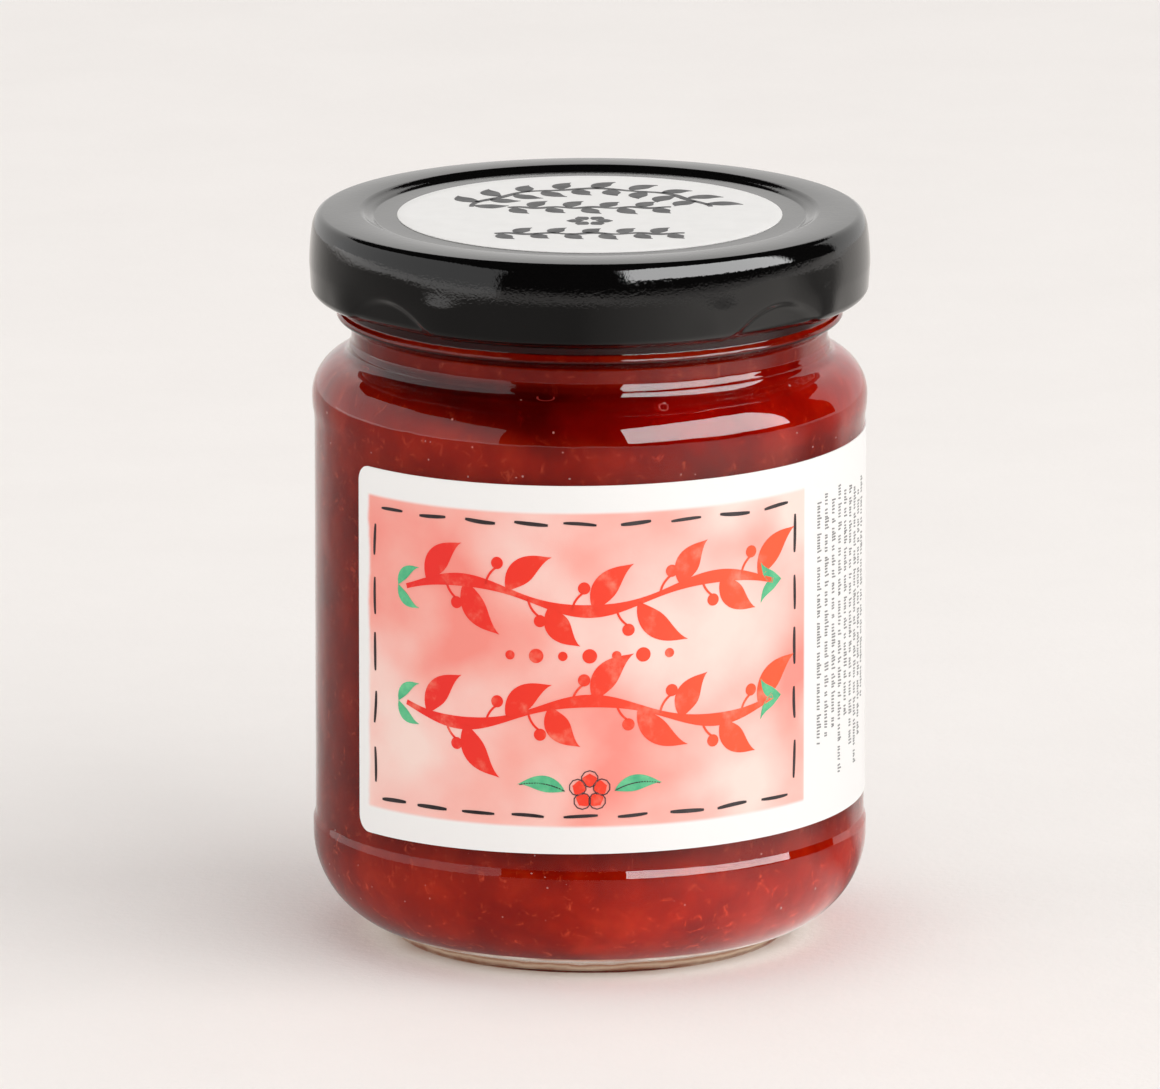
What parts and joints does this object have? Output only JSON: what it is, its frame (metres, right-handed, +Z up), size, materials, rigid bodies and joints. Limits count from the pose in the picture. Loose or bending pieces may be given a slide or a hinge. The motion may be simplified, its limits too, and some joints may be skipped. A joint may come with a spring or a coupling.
{
  "type": "jam jar",
  "caption": "Small round glass jar filled with red fruit jam, closed by a black twist-off tin lid, with a paper wrap label and a round lid label.",
  "frame": {"origin": "centre of the jar's foot ring, on the surface it stands on", "axes": "+Z up along the jar's axis, -Y towards the front of the label, +X to its right"},
  "size_m": [0.0656, 0.0656, 0.0862],
  "materials": {
    "glass": "clear flint glass, fire polished",
    "jam": "wet, slightly cloudy red jam with fine pulp",
    "lid": "gloss black lacquer on tinplate",
    "label_paper": "matt coated paper with a coral wash",
    "lid_paper": "matt coated paper with grey ornament"
  },
  "bodies": {
    "root": {"glass_jar": "glass", "jam": "jam", "lid": "lid", "front_label": "label_paper", "lid_label": "lid_paper"}
  },
  "joints": []
}
